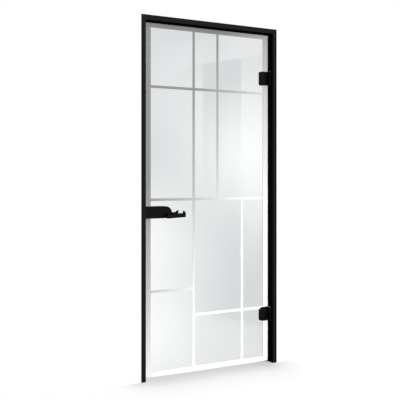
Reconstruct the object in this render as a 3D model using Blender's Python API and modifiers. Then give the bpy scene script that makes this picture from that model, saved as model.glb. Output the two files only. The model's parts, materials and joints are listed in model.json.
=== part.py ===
"""Framed glass door: a frameless glass leaf in a three-sided aluminium frame.

Metres, +Z up. The leaf's front looks along -Y and its hinges are at +X. The origin is on the
hinge jamb's wall face, at floor level and half the frame's depth.
"""
import math

import bmesh
import bpy
from mathutils import Vector

# Clearance between pieces that touch
FIT = 0.0003
# Room that a moving piece keeps from the stop behind it
SWING_CLEARANCE = 0.008

# Glass leaf
LEAF_WIDTH = 0.834
LEAF_HEIGHT = 1.972
GLASS = 0.008
ARRIS = 0.001

# Gaps round the leaf
HINGE_GAP = 0.0055
STRIKE_GAP = 0.0065
HEAD_GAP = 0.005
FLOOR_GAP = 0.007

# Frame profile
FACE = 0.028
REVEAL = 0.045
WALL = 0.0025
STOP_STEP = 0.014
STOP_DEPTH = 0.032
STOP_SETBACK = 0.005
EDGE_RADIUS = 0.0006

# Seal and its groove in the stop
GROOVE_INSET = 0.0075
GROOVE_WIDTH = 0.005
GROOVE_DEPTH = 0.0045
SEAL_LIP = 0.0015
SEAL_RELIEF = 0.0015

# Hinges
HINGE_HEIGHT = 0.082
LOWER_HINGE_RISE = 0.2875
UPPER_HINGE_DROP = 0.2625
AXIS_INSET = 0.014
AXIS_DEPTH = 0.0145
KNUCKLE_RADIUS = 0.0075
KNUCKLE_EDGE = 0.0008
LEAF_KNUCKLE = 0.044
PIN_RADIUS = 0.004
PIN_HEAD_RADIUS = 0.006
PIN_HEAD = 0.002
LUG = 0.008
LUG_INSET = 0.0015
ARM = 0.008
ARM_INSET = 0.002
ARM_CLEARANCE = 0.001
FLANGE_LEAD = 0.006
FLANGE_WIDTH = 0.024
BACKING = 0.003
BACKING_LAP = 0.005
HINGE_PLATE_WIDTH = 0.058
HINGE_PLATE = 0.0085
HINGE_CORNER = 0.009
HINGE_BOLT_INSET = 0.037
HINGE_BOLT_FROM_END = 0.017

# Clamping of the fittings to the glass
GASKET = 0.001
GASKET_INSET = 0.001
BOSS_RADIUS = 0.0055
GLASS_HOLE_RADIUS = 0.0075
BOLT_BORE_RADIUS = 0.0025
PLATE_EDGE = 0.0012

# Countersunk screw holes
SCREW_RADIUS = 0.0031
SCREW_HEAD_RADIUS = 0.006
BRACKET_SCREW_FROM_END = 0.013
STRIKE_SCREW_FROM_END = 0.009

# Lock
LOCK_Z = 0.925
LOCK_HEIGHT = 0.067
LOCK_LENGTH = 0.169
LOCK_END = 0.041
LOCK_DEPTH = 0.0135
LOCK_EDGE = 0.0022
FOREND = 0.0025
LOCK_BOLT_NEAR = 0.036
LOCK_BOLT_FAR = 0.094

# Latch bolt
LATCH_RISE = 0.012
LATCH_HEIGHT = 0.022
LATCH_WIDTH = 0.009
LATCH_LENGTH = 0.028
LATCH_SLANT = 0.006

# Lever handles
SPINDLE_DROP = 0.018
SPINDLE_SIDE = 0.008
SPINDLE_REACH = 0.030
NECK_RADIUS = 0.0095
NECK_DEPTH = 0.005
BUSH_RADIUS = 0.0115
BUSH_LENGTH = 0.0036
COLLAR_RADIUS = 0.0125
COLLAR = 0.0025
COLLAR_CLEARANCE = 0.0005
NECK_FLARE = 0.003
LEVER_STANDOFF = 0.060
LEVER_THICK = 0.010
LEVER_HEIGHT = 0.024
LEVER_DROP = 0.003
LEVER_TAIL = 0.0165
LEVER_LENGTH = 0.120
LEVER_BEND = 0.012
LEVER_RETURN = 0.027
LEVER_RISE = 0.011
LEVER_CLIMB = 0.006
LEVER_EDGE = 0.003
LEVER_EDGE_STEPS = 3

# Strike
STRIKE_HEIGHT = 0.074
STRIKE_WIDTH = 0.020
STRIKE_CORNER = 0.003
STRIKE_SLACK = 0.0015
CUP_WALL = 0.0015
CUP_DEPTH = 0.012
CUP_FLANGE = 0.002
CUP_LAP = 0.004

# Facets
ROUND_SIDES = 32
HOLE_SIDES = 20
ARC_STEPS = 6
LOCK_ARC_STEPS = 12
EDGE_STEPS = 2

# Places that follow from the sizes
FRAME_WIDTH = 2 * FACE + HINGE_GAP + LEAF_WIDTH + STRIKE_GAP
FRAME_HEIGHT = FLOOR_GAP + LEAF_HEIGHT + HEAD_GAP + FACE
STOP_FROM_FRONT = REVEAL + GLASS + STOP_SETBACK
FRAME_DEPTH = STOP_FROM_FRONT + STOP_DEPTH
FRONT = -FRAME_DEPTH / 2
GLASS_FRONT = FRONT + REVEAL
GLASS_BACK = GLASS_FRONT + GLASS
LEAF_RIGHT = -(FACE + HINGE_GAP)
LEAF_LEFT = LEAF_RIGHT - LEAF_WIDTH
LEAF_TOP = FLOOR_GAP + LEAF_HEIGHT
MITRE_GAP = FIT / math.sqrt(2)

AXIS_X = -(FACE + AXIS_INSET)
AXIS_Y = FRONT + AXIS_DEPTH
LOWER_HINGE_Z = FLOOR_GAP + LOWER_HINGE_RISE
UPPER_HINGE_Z = LEAF_TOP - UPPER_HINGE_DROP
SEAT = GASKET + 2 * FIT
LOCK_RIGHT = LEAF_LEFT + LOCK_LENGTH
SPINDLE_X = LOCK_RIGHT - LOCK_HEIGHT / 2
SPINDLE_Z = LOCK_Z - SPINDLE_DROP
LATCH_Z = LOCK_Z + LATCH_RISE
LATCH_Y = GLASS_FRONT - SEAT - LOCK_DEPTH / 2
LEVER_Z = SPINDLE_Z - LEVER_DROP

FRONT_SIDE = -1
BACK_SIDE = 1

# Distance within which mesh points are one
MERGE = 0.00001


def off_glass(side, distance):
    """Depth of a point that stands a distance off the glass, in front of it or behind it."""
    face = GLASS_FRONT if side == FRONT_SIDE else GLASS_BACK
    return face + side * distance


def clear_scene():
    for item in list(bpy.data.objects):
        bpy.data.objects.remove(item, do_unlink=True)


def collection(name):
    made = bpy.data.collections.new(name)
    bpy.context.scene.collection.children.link(made)
    return made


def material(name, colour, roughness, metallic=0.0, transmission=0.0):
    made = bpy.data.materials.new(name)
    made.use_nodes = True
    shader = made.node_tree.nodes["Principled BSDF"]
    shader.inputs["Base Color"].default_value = (*colour, 1.0)
    shader.inputs["Roughness"].default_value = roughness
    shader.inputs["Metallic"].default_value = metallic
    shader.inputs["Transmission Weight"].default_value = transmission
    return made


def add_object(name, bm, finish):
    """Make an object of the mesh with its origin at the mesh's centre."""
    bmesh.ops.recalc_face_normals(bm, faces=bm.faces)
    if bm.calc_volume(signed=True) < 0:
        bmesh.ops.reverse_faces(bm, faces=bm.faces)
    low = Vector([min(v.co[i] for v in bm.verts) for i in range(3)])
    high = Vector([max(v.co[i] for v in bm.verts) for i in range(3)])
    centre = (low + high) / 2
    bmesh.ops.translate(bm, verts=bm.verts, vec=-centre)
    mesh = bpy.data.meshes.new(name)
    bm.to_mesh(mesh)
    bm.free()
    made = bpy.data.objects.new(name, mesh)
    made.location = centre
    if finish is None:
        CUTTERS.objects.link(made)
        made.hide_render = True
        made.display_type = "WIRE"
    else:
        mesh.materials.append(finish)
        PARTS.objects.link(made)
    return made


def box(name, low, high, finish=None):
    bm = bmesh.new()
    bmesh.ops.create_cube(bm, size=1.0)
    low, high = Vector(low), Vector(high)
    bmesh.ops.scale(bm, verts=bm.verts, vec=high - low)
    bmesh.ops.translate(bm, verts=bm.verts, vec=(low + high) / 2)
    return add_object(name, bm, finish)


def turned(name, start, towards, profile, finish=None, sides=ROUND_SIDES):
    """Turn a profile of (radius, distance) about the line from start towards a point."""
    start, towards = Vector(start), Vector(towards)
    bm = bmesh.new()
    verts = [bm.verts.new((radius, 0, distance)) for radius, distance in profile]
    edges = [bm.edges.new(pair) for pair in zip(verts, verts[1:])]
    bmesh.ops.spin(
        bm, geom=verts + edges, cent=(0, 0, 0), axis=(0, 0, 1), angle=math.tau, steps=sides,
        use_duplicate=False)
    bmesh.ops.remove_doubles(bm, verts=bm.verts, dist=MERGE)
    turn = Vector((0, 0, 1)).rotation_difference(towards - start)
    bmesh.ops.rotate(bm, verts=bm.verts, matrix=turn.to_matrix())
    bmesh.ops.translate(bm, verts=bm.verts, vec=start)
    return add_object(name, bm, finish)


def cylinder(name, start, end, radius, finish=None, sides=ROUND_SIDES):
    """A round bar from one point to another."""
    length = (Vector(end) - Vector(start)).length
    profile = [(0, 0), (radius, 0), (radius, length), (0, length)]
    return turned(name, start, end, profile, finish, sides)


def rounded(corners, steps=ARC_STEPS):
    """Outline through corners (u, v, radius), each with an arc of its radius."""
    outline = []
    for index, (u, v, radius) in enumerate(corners):
        corner = Vector((u, v))
        if radius == 0:
            outline.append(corner)
            continue
        before = (Vector(corners[index - 1][:2]) - corner).normalized()
        after = (Vector(corners[(index + 1) % len(corners)][:2]) - corner).normalized()
        half_angle = before.angle(after) / 2
        centre = corner + (before + after).normalized() * radius / math.sin(half_angle)
        tangent = radius / math.tan(half_angle)
        first = (corner + before * tangent - centre).normalized()
        last = (corner + after * tangent - centre).normalized()
        outline += [
            centre + radius * first.slerp(last, step / steps) for step in range(steps + 1)]
    return outline


def extrude(name, outlines, place, finish=None):
    """Fill flat outlines, give them thickness, and put each point where place(u, v, end) says."""
    curve = bpy.data.curves.new(name, "CURVE")
    curve.dimensions = "2D"
    curve.fill_mode = "BOTH"
    curve.extrude = 0.5
    for outline in outlines:
        spline = curve.splines.new("POLY")
        spline.points.add(len(outline) - 1)
        for point, (u, v) in zip(spline.points, outline):
            point.co = (u, v, 0, 1)
        spline.use_cyclic_u = True
    holder = bpy.data.objects.new(name, curve)
    bpy.context.scene.collection.objects.link(holder)
    evaluated = holder.evaluated_get(bpy.context.evaluated_depsgraph_get())
    mesh = bpy.data.meshes.new_from_object(evaluated)
    bm = bmesh.new()
    bm.from_mesh(mesh)
    bmesh.ops.remove_doubles(bm, verts=bm.verts, dist=MERGE)
    for vertex in bm.verts:
        vertex.co = place(vertex.co.x, vertex.co.y, vertex.co.z > 0)
    bpy.data.objects.remove(holder)
    bpy.data.curves.remove(curve)
    bpy.data.meshes.remove(mesh)
    return add_object(name, bm, finish)


def combine(target, tool, operation):
    change = target.modifiers.new(tool.name, "BOOLEAN")
    change.operation = operation
    change.solver = "EXACT"
    change.object = tool


def cut(target, tool):
    combine(target, tool, "DIFFERENCE")


def join(target, tool):
    combine(target, tool, "UNION")


def screw_hole(target, name, face, inward):
    """Countersunk hole whose rim is at face and which runs through to the point inward."""
    length = (Vector(inward) - Vector(face)).length
    sink = SCREW_HEAD_RADIUS - SCREW_RADIUS
    profile = [
        (0, -FIT), (SCREW_HEAD_RADIUS + FIT, -FIT), (SCREW_RADIUS, sink),
        (SCREW_RADIUS, length), (0, length)]
    cut(target, turned(name, face, inward, profile, sides=HOLE_SIDES))


def soften(target, width, steps=EDGE_STEPS):
    edge = target.modifiers.new("edges", "BEVEL")
    edge.width = width
    edge.segments = steps
    edge.limit_method = "ANGLE"
    edge.angle_limit = math.radians(50)


def on_hinge_side(a, b, end):
    return Vector((-a, FRONT + b, FRAME_HEIGHT - a - MITRE_GAP if end else 0))


def on_strike_side(a, b, end):
    return Vector((-FRAME_WIDTH + a, FRONT + b, FRAME_HEIGHT - a - MITRE_GAP if end else 0))


def on_head(a, b, end):
    along = -a - MITRE_GAP if end else -FRAME_WIDTH + a + MITRE_GAP
    return Vector((along, FRONT + b, FRAME_HEIGHT - a))


def frame_outlines():
    """Section of the frame: distance from the wall, then distance from the front face."""
    tip = FACE + STOP_STEP
    groove = FACE + GROOVE_INSET
    groove_end = STOP_FROM_FRONT + GROOVE_DEPTH
    web = groove_end + WALL
    outside = rounded([
        (0, 0, EDGE_RADIUS),
        (FACE, 0, EDGE_RADIUS),
        (FACE, STOP_FROM_FRONT, 0),
        (groove, STOP_FROM_FRONT, 0),
        (groove, groove_end, 0),
        (groove + GROOVE_WIDTH, groove_end, 0),
        (groove + GROOVE_WIDTH, STOP_FROM_FRONT, 0),
        (tip, STOP_FROM_FRONT, EDGE_RADIUS),
        (tip, FRAME_DEPTH, EDGE_RADIUS),
        (0, FRAME_DEPTH, EDGE_RADIUS),
    ], EDGE_STEPS)
    chamber = rounded([
        (WALL, WALL, 0),
        (FACE - WALL, WALL, 0),
        (FACE - WALL, web, 0),
        (tip - WALL, web, 0),
        (tip - WALL, FRAME_DEPTH - WALL, 0),
        (WALL, FRAME_DEPTH - WALL, 0),
    ])
    return [outside, chamber]


def seal_outline():
    """Section of the seal: a foot in the groove and a soft bead in front of the stop."""
    foot_low = FACE + GROOVE_INSET + FIT
    foot_high = foot_low + GROOVE_WIDTH - 2 * FIT
    foot_end = STOP_FROM_FRONT + GROOVE_DEPTH - FIT
    shoulder = STOP_FROM_FRONT - FIT
    crown = STOP_FROM_FRONT - STOP_SETBACK + SEAL_RELIEF
    radius = 0.9 * (shoulder - crown)
    return rounded([
        (foot_low - SEAL_LIP, shoulder, 0),
        (foot_low - SEAL_LIP, crown, radius),
        (foot_high + SEAL_LIP, crown, radius),
        (foot_high + SEAL_LIP, shoulder, 0),
        (foot_high, shoulder, 0),
        (foot_high, foot_end, 0),
        (foot_low, foot_end, 0),
        (foot_low, shoulder, 0),
    ], 4)


def build_frame():
    outlines = frame_outlines()
    hinge_jamb = extrude("hinge_jamb", outlines, on_hinge_side, BLACK_FRAME)
    strike_jamb = extrude("strike_jamb", outlines, on_strike_side, BLACK_FRAME)
    extrude("head_rail", outlines, on_head, BLACK_FRAME)
    seal = [seal_outline()]
    extrude("seal_hinge_side", seal, on_hinge_side, SEAL_RUBBER)
    extrude("seal_strike_side", seal, on_strike_side, SEAL_RUBBER)
    extrude("seal_head", seal, on_head, SEAL_RUBBER)
    return hinge_jamb, strike_jamb


def build_strike(strike_jamb):
    """Strike plate let into the jamb's wall, with the cup behind it that takes the bolt."""
    wall_face = -FRAME_WIDTH + FACE
    low_y = LATCH_Y - STRIKE_WIDTH / 2
    high_y = LATCH_Y + STRIKE_WIDTH / 2
    low_z = LATCH_Z - STRIKE_HEIGHT / 2
    high_z = LATCH_Z + STRIKE_HEIGHT / 2
    hole_y = LATCH_WIDTH / 2 + STRIKE_SLACK
    hole_z = LATCH_HEIGHT / 2 + STRIKE_SLACK

    def strike_outline(grow):
        radius = STRIKE_CORNER + grow
        return rounded([
            (low_y - grow, low_z - grow, radius), (high_y + grow, low_z - grow, radius),
            (high_y + grow, high_z + grow, radius), (low_y - grow, high_z + grow, radius)])

    window = extrude(
        "strike_window", [strike_outline(FIT)],
        lambda y, z, end: Vector((wall_face + (FIT if end else -2 * WALL), y, z)))
    cut(strike_jamb, window)

    hole = [
        Vector((LATCH_Y - hole_y, LATCH_Z - hole_z)), Vector((LATCH_Y + hole_y, LATCH_Z - hole_z)),
        Vector((LATCH_Y + hole_y, LATCH_Z + hole_z)), Vector((LATCH_Y - hole_y, LATCH_Z + hole_z))]
    plate = extrude(
        "strike_plate", [strike_outline(0), hole],
        lambda y, z, end: Vector((wall_face - (0 if end else WALL), y, z)), STEEL)

    flange_face = wall_face - WALL - FIT
    cup_y = hole_y + CUP_WALL
    cup_z = hole_z + CUP_WALL
    cup = box(
        "strike_cup",
        (flange_face - CUP_FLANGE, low_y - CUP_LAP, low_z - CUP_LAP),
        (flange_face, high_y + CUP_LAP, high_z + CUP_LAP), GREY_PLASTIC)
    join(cup, box(
        "cup_body",
        (flange_face - CUP_DEPTH, LATCH_Y - cup_y, LATCH_Z - cup_z),
        (flange_face - CUP_FLANGE / 2, LATCH_Y + cup_y, LATCH_Z + cup_z)))
    cut(cup, box(
        "cup_hollow",
        (flange_face - CUP_DEPTH + CUP_WALL, LATCH_Y - hole_y, LATCH_Z - hole_z),
        (flange_face + FIT, LATCH_Y + hole_y, LATCH_Z + hole_z)))
    for word, screw_z in (
            ("low", low_z + STRIKE_SCREW_FROM_END), ("high", high_z - STRIKE_SCREW_FROM_END)):
        face = (wall_face, LATCH_Y, screw_z)
        inward = (flange_face - 2 * CUP_FLANGE, LATCH_Y, screw_z)
        screw_hole(plate, f"strike_screw_hole_{word}", face, inward)
        cut(cup, cylinder(f"cup_screw_hole_{word}", face, inward, SCREW_RADIUS, sides=HOLE_SIDES))


def glass_hole(glass, name, x, z, radius):
    start = (x, off_glass(FRONT_SIDE, GLASS), z)
    end = (x, off_glass(BACK_SIDE, GLASS), z)
    cut(glass, cylinder(name, start, end, radius, sides=HOLE_SIDES))


def build_glass():
    glass = box(
        "glass_leaf", (LEAF_LEFT, GLASS_FRONT, FLOOR_GAP), (LEAF_RIGHT, GLASS_BACK, LEAF_TOP),
        CLEAR_GLASS)
    soften(glass, ARRIS, 1)
    return glass


def plate_outline(low_x, high_x, low_z, high_z, left_radius):
    """Outline of a plate whose left corners are rounded."""
    return rounded([
        (low_x, low_z, left_radius), (high_x, low_z, 0),
        (high_x, high_z, 0), (low_x, high_z, left_radius)])


def clamped(name, outline, side, start, thickness, finish):
    """Plate of an outline (x, z) that stands off the glass by start, and is thickness deep."""
    near = off_glass(side, start)
    far = off_glass(side, start + thickness)
    return extrude(
        name, [outline], lambda x, z, end: Vector((x, far if end else near, z)), finish)


def boss(front, back, name, x, z, back_thickness):
    """Tapped sleeve of the front fitting, through the glass, with the screw hole behind it."""
    start = (x, off_glass(FRONT_SIDE, SEAT + FIT), z)
    end = (x, off_glass(BACK_SIDE, SEAT - FIT), z)
    beyond = (x, off_glass(BACK_SIDE, SEAT), z)
    join(front, cylinder(name, start, end, BOSS_RADIUS, sides=HOLE_SIDES))
    cut(front, cylinder(
        name + "_bore", (x, off_glass(FRONT_SIDE, SEAT), z), beyond, BOLT_BORE_RADIUS,
        sides=HOLE_SIDES))
    face = (x, off_glass(BACK_SIDE, SEAT + back_thickness), z)
    screw_hole(back, name + "_screw_hole", face, (x, off_glass(BACK_SIDE, 0), z))


def boss_hole(target, name, x, z):
    start = off_glass(FRONT_SIDE, SEAT)
    end = off_glass(BACK_SIDE, SEAT)
    cut(target, cylinder(
        name, (x, start, z), (x, end, z), BOSS_RADIUS + FIT, sides=HOLE_SIDES))


def knuckle(name, low, high):
    """Barrel round the hinge axis, with a small chamfer at each end."""
    height = high - low
    profile = [
        (0, 0), (KNUCKLE_RADIUS - KNUCKLE_EDGE, 0), (KNUCKLE_RADIUS, KNUCKLE_EDGE),
        (KNUCKLE_RADIUS, height - KNUCKLE_EDGE), (KNUCKLE_RADIUS - KNUCKLE_EDGE, height),
        (0, height)]
    return turned(name, (AXIS_X, AXIS_Y, low), (AXIS_X, AXIS_Y, high), profile)


def build_hinge(prefix, centre_z, glass, hinge_jamb):
    """One hinge: a bracket let into the jamb, a pin, and two plates that clamp the glass."""
    low = centre_z - HINGE_HEIGHT / 2
    high = centre_z + HINGE_HEIGHT / 2
    leaf_low = centre_z - LEAF_KNUCKLE / 2
    leaf_high = centre_z + LEAF_KNUCKLE / 2
    bore = PIN_RADIUS + FIT

    flange_near = AXIS_Y - FLANGE_LEAD
    flange_far = flange_near + FLANGE_WIDTH
    cut(hinge_jamb, box(
        prefix + "_hinge_window",
        (-FACE - FIT, flange_near - FIT, low - FIT),
        (-FACE + 2 * WALL, flange_far + FIT, high + FIT)))
    bracket = box(
        prefix + "_hinge_bracket",
        (-FACE, flange_near, low), (-FACE + WALL + 2 * FIT, flange_far, high), BLACK_FITTING)
    join(bracket, box(
        prefix + "_bracket_backing",
        (-FACE + WALL + FIT, max(flange_near - BACKING_LAP, FRONT + WALL + FIT),
         low - BACKING_LAP),
        (-FACE + WALL + FIT + BACKING, flange_far + BACKING_LAP, high + BACKING_LAP)))
    for end, start, stop in (("low", low, leaf_low - FIT), ("high", leaf_high + FIT, high)):
        join(bracket, box(
            f"{prefix}_lug_{end}",
            (AXIS_X, AXIS_Y - LUG / 2, start + LUG_INSET),
            (-FACE + WALL / 2, AXIS_Y + LUG / 2, stop - LUG_INSET)))
        join(bracket, knuckle(f"{prefix}_frame_knuckle_{end}", start, stop))
    cut(bracket, cylinder(
        prefix + "_bracket_bore",
        (AXIS_X, AXIS_Y, low - FIT), (AXIS_X, AXIS_Y, high + FIT), bore))

    screw_y = flange_far - SCREW_HEAD_RADIUS - 2 * FIT
    for word, screw_z in (
            ("low", low + BRACKET_SCREW_FROM_END), ("high", high - BRACKET_SCREW_FROM_END)):
        screw_hole(
            bracket, f"{prefix}_bracket_screw_hole_{word}",
            (-FACE, screw_y, screw_z), (-FACE + WALL + 2 * BACKING, screw_y, screw_z))

    head_seat = high - low + FIT
    crown = head_seat + PIN_HEAD
    turned(
        prefix + "_hinge_pin", (AXIS_X, AXIS_Y, low), (AXIS_X, AXIS_Y, high),
        [(0, 0), (PIN_RADIUS, 0), (PIN_RADIUS, head_seat), (PIN_HEAD_RADIUS, head_seat),
         (PIN_HEAD_RADIUS, head_seat + PIN_HEAD / 2), (0.8 * PIN_HEAD_RADIUS, crown), (0, crown)],
        STEEL)

    left = LEAF_RIGHT - HINGE_PLATE_WIDTH
    back_right = LEAF_RIGHT - (STOP_STEP - HINGE_GAP + SWING_CLEARANCE)
    front = clamped(
        prefix + "_hinge_plate_front",
        plate_outline(left, LEAF_RIGHT, low, high, HINGE_CORNER),
        FRONT_SIDE, SEAT, HINGE_PLATE, BLACK_FITTING)
    soften(front, PLATE_EDGE)
    back = clamped(
        prefix + "_hinge_plate_back",
        plate_outline(left, back_right, low, high, HINGE_CORNER),
        BACK_SIDE, SEAT, HINGE_PLATE, BLACK_FITTING)
    soften(back, PLATE_EDGE)
    gaskets = []
    for side, right, word in ((FRONT_SIDE, LEAF_RIGHT, "front"), (BACK_SIDE, back_right, "back")):
        gaskets.append(clamped(
            f"{prefix}_hinge_gasket_{word}",
            plate_outline(
                left + GASKET_INSET, right - GASKET_INSET, low + GASKET_INSET,
                high - GASKET_INSET, HINGE_CORNER - GASKET_INSET),
            side, FIT, GASKET, GREY_PLASTIC))

    arm_end = off_glass(FRONT_SIDE, SEAT + HINGE_PLATE / 2)
    join(front, box(
        prefix + "_hinge_arm",
        (AXIS_X - ARM / 2, AXIS_Y + KNUCKLE_RADIUS + ARM_CLEARANCE, low + ARM_INSET),
        (AXIS_X + ARM / 2, arm_end, high - ARM_INSET)))
    join(front, box(
        prefix + "_hinge_arm_root",
        (AXIS_X - ARM / 2 + FIT, AXIS_Y, leaf_low + ARM_INSET),
        (AXIS_X + ARM / 2 - FIT, arm_end - HINGE_PLATE / 4, leaf_high - ARM_INSET)))
    join(front, knuckle(prefix + "_leaf_knuckle", leaf_low, leaf_high))
    cut(front, cylinder(
        prefix + "_leaf_bore",
        (AXIS_X, AXIS_Y, leaf_low - FIT), (AXIS_X, AXIS_Y, leaf_high + FIT), bore))

    bolt_x = LEAF_RIGHT - HINGE_BOLT_INSET
    for word, bolt_z in (
            ("low", low + HINGE_BOLT_FROM_END), ("high", high - HINGE_BOLT_FROM_END)):
        boss(front, back, f"{prefix}_boss_{word}", bolt_x, bolt_z, HINGE_PLATE)
        glass_hole(glass, f"{prefix}_glass_hole_{word}", bolt_x, bolt_z, GLASS_HOLE_RADIUS)
        for gasket in gaskets:
            boss_hole(gasket, f"{gasket.name}_hole_{word}", bolt_x, bolt_z)
    return [front, back, *gaskets]


def lock_outline(left, right, inset):
    """Outline of the lock: square at its forend, and half an ellipse at its other end."""
    left, right = left + inset, right - inset
    half = LOCK_HEIGHT / 2 - inset
    reach = LOCK_END - inset
    low, high = LOCK_Z - half, LOCK_Z + half
    outline = rounded(
        [(left, low, 0), (right, low, half), (right, high, half), (left, high, 0)],
        LOCK_ARC_STEPS)
    for point in outline:
        if point.x > right - half - MERGE:
            point.x = right - (right - point.x) * reach / half
    return outline


def build_lock(glass):
    """Lock case in front of the glass, its cover behind it, and what sits in them."""
    back_left = LEAF_LEFT + STOP_STEP - STRIKE_GAP + SWING_CLEARANCE
    case_left = LEAF_LEFT + FOREND + FIT
    case = clamped(
        "lock_case_front", lock_outline(case_left, LOCK_RIGHT, 0),
        FRONT_SIDE, SEAT, LOCK_DEPTH, BLACK_FITTING)
    cover = clamped(
        "lock_case_back", lock_outline(back_left, LOCK_RIGHT, 0),
        BACK_SIDE, SEAT, LOCK_DEPTH, BLACK_FITTING)
    gaskets = [
        clamped(
            "lock_gasket_front", lock_outline(case_left, LOCK_RIGHT, GASKET_INSET),
            FRONT_SIDE, FIT, GASKET, GREY_PLASTIC),
        clamped(
            "lock_gasket_back", lock_outline(back_left, LOCK_RIGHT, GASKET_INSET),
            BACK_SIDE, FIT, GASKET, GREY_PLASTIC)]
    made = [case, cover, *gaskets]

    spindle_bore = 0.75 * SPINDLE_SIDE + FIT
    for side, housing, gasket, word in (
            (FRONT_SIDE, case, gaskets[0], "front"), (BACK_SIDE, cover, gaskets[1], "back")):
        soften(housing, LOCK_EDGE)
        case_depth = SEAT + LOCK_DEPTH
        face = (SPINDLE_X, off_glass(side, case_depth), SPINDLE_Z)
        glass_face = (SPINDLE_X, off_glass(side, 0), SPINDLE_Z)
        seat_radius = BUSH_RADIUS + FIT
        seat_depth = BUSH_LENGTH + FIT
        neck_radius = NECK_RADIUS + FIT
        neck_depth = NECK_DEPTH + FIT
        cut(housing, turned(f"lever_seat_{word}", face, glass_face, [
            (0, -FIT), (seat_radius, -FIT), (seat_radius, seat_depth), (neck_radius, seat_depth),
            (neck_radius, neck_depth), (spindle_bore, neck_depth), (spindle_bore, case_depth),
            (0, case_depth)]))
        cut(gasket, cylinder(f"gasket_spindle_bore_{word}", glass_face, face, spindle_bore))
        made.append(turned(f"lever_bush_{word}", face, glass_face, [
            (neck_radius, 0), (BUSH_RADIUS, 0), (BUSH_RADIUS, BUSH_LENGTH),
            (neck_radius, BUSH_LENGTH), (neck_radius, 0)], GREY_PLASTIC))
    glass_hole(glass, "glass_spindle_hole", SPINDLE_X, SPINDLE_Z, 1.6 * spindle_bore)

    for word, inset in (("near", LOCK_BOLT_NEAR), ("far", LOCK_BOLT_FAR)):
        bolt_x = LEAF_LEFT + inset
        boss(case, cover, f"lock_boss_{word}", bolt_x, LOCK_Z, LOCK_DEPTH)
        glass_hole(glass, f"lock_glass_hole_{word}", bolt_x, LOCK_Z, GLASS_HOLE_RADIUS)
        for gasket in gaskets:
            boss_hole(gasket, f"{gasket.name}_hole_{word}", bolt_x, LOCK_Z)

    def latch_space(name, left, right):
        return box(
            name,
            (left, LATCH_Y - LATCH_WIDTH / 2 - FIT, LATCH_Z - LATCH_HEIGHT / 2 - FIT),
            (right, LATCH_Y + LATCH_WIDTH / 2 + FIT, LATCH_Z + LATCH_HEIGHT / 2 + FIT))

    near = off_glass(FRONT_SIDE, SEAT)
    far = off_glass(FRONT_SIDE, SEAT + LOCK_DEPTH)
    forend = box(
        "lock_forend", (LEAF_LEFT, far, LOCK_Z - LOCK_HEIGHT / 2),
        (LEAF_LEFT + FOREND, near, LOCK_Z + LOCK_HEIGHT / 2), STEEL)
    latch_end = LEAF_LEFT + LATCH_LENGTH
    slanted = rounded([
        (LEAF_LEFT, LATCH_Y - LATCH_WIDTH / 2, 0),
        (latch_end, LATCH_Y - LATCH_WIDTH / 2, 0),
        (latch_end, LATCH_Y + LATCH_WIDTH / 2, 0),
        (LEAF_LEFT + LATCH_SLANT, LATCH_Y + LATCH_WIDTH / 2, 0),
        (LEAF_LEFT, LATCH_Y - LATCH_WIDTH / 4, PLATE_EDGE)])
    latch = extrude(
        "latch_bolt", [slanted],
        lambda x, y, end: Vector((x, y, LATCH_Z + LATCH_HEIGHT / (2 if end else -2))), STEEL)
    cut(forend, latch_space("forend_hole", LEAF_LEFT - FIT, case_left))
    cut(case, latch_space("latch_channel", LEAF_LEFT, latch_end + FIT))
    return [*made, forend, latch]


def build_lever(side, word):
    """Lever on its neck: a flat bar that climbs a little, then turns back and rises at its end."""
    left = SPINDLE_X - LEVER_TAIL
    right = left + LEVER_LENGTH
    near = LEVER_STANDOFF - LEVER_THICK
    outline = rounded([
        (left, near, 0),
        (left, LEVER_STANDOFF, 0),
        (right, LEVER_STANDOFF, LEVER_BEND),
        (right, LEVER_STANDOFF - LEVER_RETURN, 0),
        (right - LEVER_THICK, LEVER_STANDOFF - LEVER_RETURN, 0),
        (right - LEVER_THICK, near, LEVER_BEND - 0.8 * LEVER_THICK),
    ])

    def place(x, distance, end):
        back = min(max((near - distance) / (LEVER_RETURN - LEVER_THICK), 0), 1)
        rise = LEVER_RISE * back + LEVER_CLIMB * (x - SPINDLE_X) / LEVER_LENGTH
        height = LEVER_HEIGHT / 2 if end else -LEVER_HEIGHT / 2
        return Vector((x, off_glass(side, distance), LEVER_Z + rise + height))

    lever = extrude("lever_" + word, [outline], place, BLACK_FITTING)
    soften(lever, LEVER_EDGE, LEVER_EDGE_STEPS)
    neck_end = SEAT + LOCK_DEPTH - NECK_DEPTH
    collar_start = NECK_DEPTH + COLLAR_CLEARANCE
    bar_back = near - neck_end
    join(lever, turned(
        f"lever_neck_{word}",
        (SPINDLE_X, off_glass(side, neck_end), SPINDLE_Z),
        (SPINDLE_X, off_glass(side, near), SPINDLE_Z),
        [(0, 0), (NECK_RADIUS, 0), (NECK_RADIUS, collar_start), (COLLAR_RADIUS, collar_start),
         (COLLAR_RADIUS, collar_start + COLLAR / 2), (NECK_RADIUS, collar_start + COLLAR),
         (NECK_RADIUS, bar_back - NECK_FLARE), (NECK_RADIUS + NECK_FLARE / 3, bar_back),
         (NECK_RADIUS, bar_back + LEVER_THICK / 2), (0, bar_back + LEVER_THICK / 2)]))
    half = SPINDLE_SIDE / 2 + FIT
    depths = sorted((off_glass(side, neck_end - FIT), off_glass(side, SPINDLE_REACH + FIT)))
    cut(lever, box(
        f"spindle_socket_{word}",
        (SPINDLE_X - half, depths[0], SPINDLE_Z - half),
        (SPINDLE_X + half, depths[1], SPINDLE_Z + half)))
    return lever


def build_spindle():
    half = SPINDLE_SIDE / 2
    return box(
        "lever_spindle",
        (SPINDLE_X - half, off_glass(FRONT_SIDE, SPINDLE_REACH), SPINDLE_Z - half),
        (SPINDLE_X + half, off_glass(BACK_SIDE, SPINDLE_REACH), SPINDLE_Z + half), STEEL)


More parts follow.
